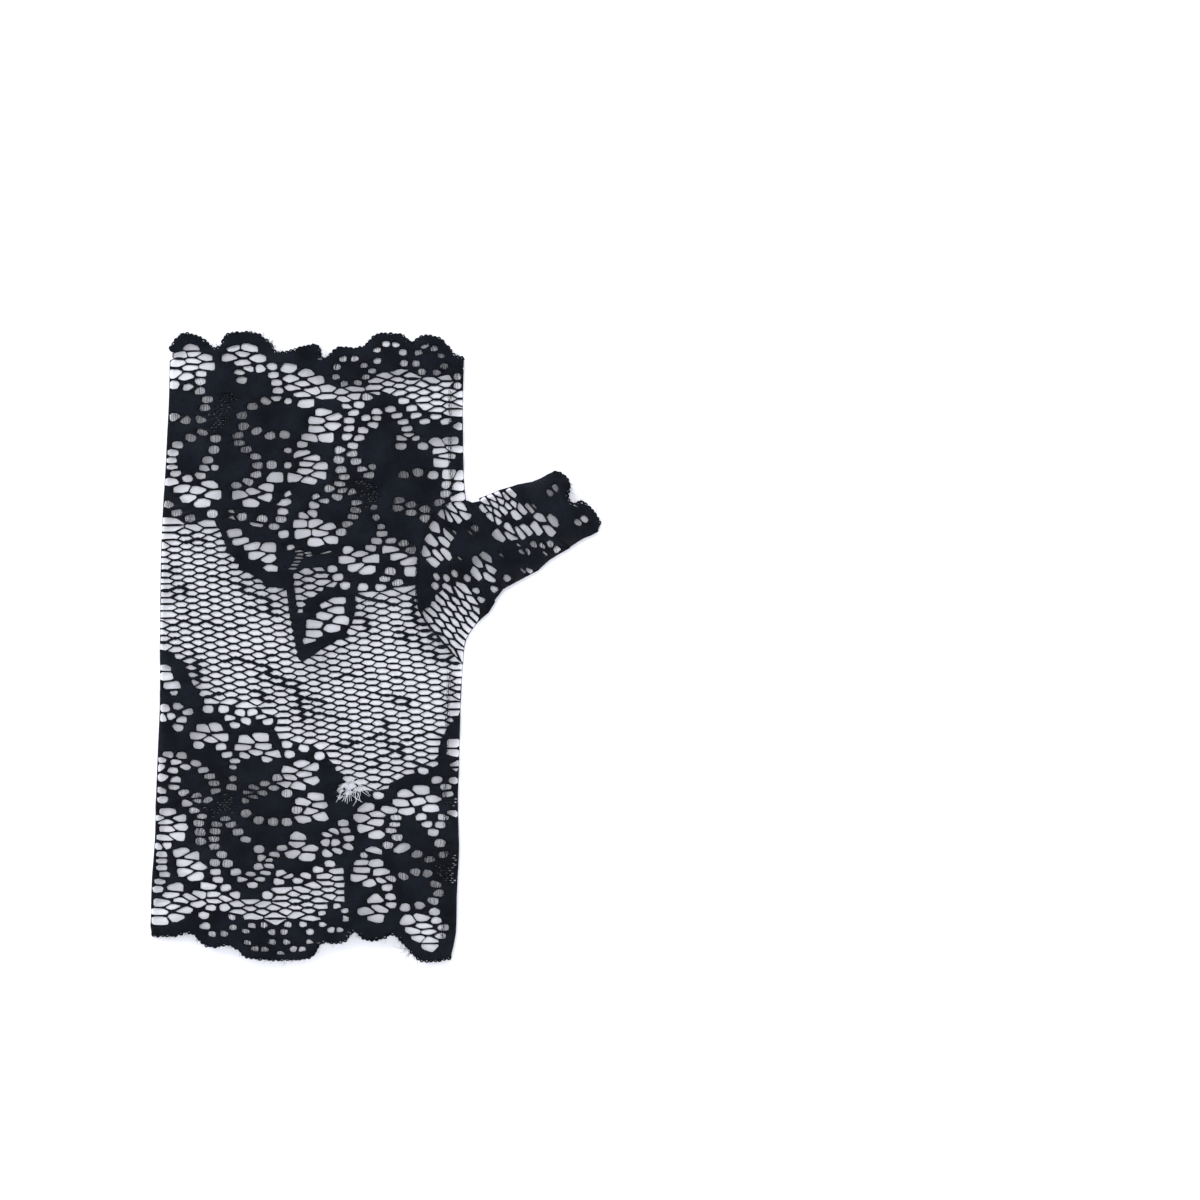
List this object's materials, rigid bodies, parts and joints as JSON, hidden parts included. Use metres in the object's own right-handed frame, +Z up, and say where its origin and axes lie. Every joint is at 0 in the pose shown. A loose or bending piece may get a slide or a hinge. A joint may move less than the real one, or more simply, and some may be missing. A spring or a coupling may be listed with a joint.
{
  "type": "evening mitten",
  "caption": "Short fingerless mitten of floral stretch lace with scalloped edges and a set-in open thumb, lying flat.",
  "frame": {"origin": "middle of the whole mitten's outline in plan, on the surface that it lies on", "axes": "+Y from the wrist edge to the finger edge, +X to the thumb, +Z up from the surface to the upper layer"},
  "size_m": [0.1346, 0.1878, 0.0105],
  "materials": {
    "lace": "matte stretch lace, nearly black",
    "seam_thread": "matte overlocked thread"
  },
  "bodies": {
    "root": {"hand_tube": "lace", "thumb_tube": "lace", "thumb_seam": "seam_thread", "side_seam_finger": "seam_thread", "side_seam_wrist": "seam_thread"}
  },
  "joints": []
}
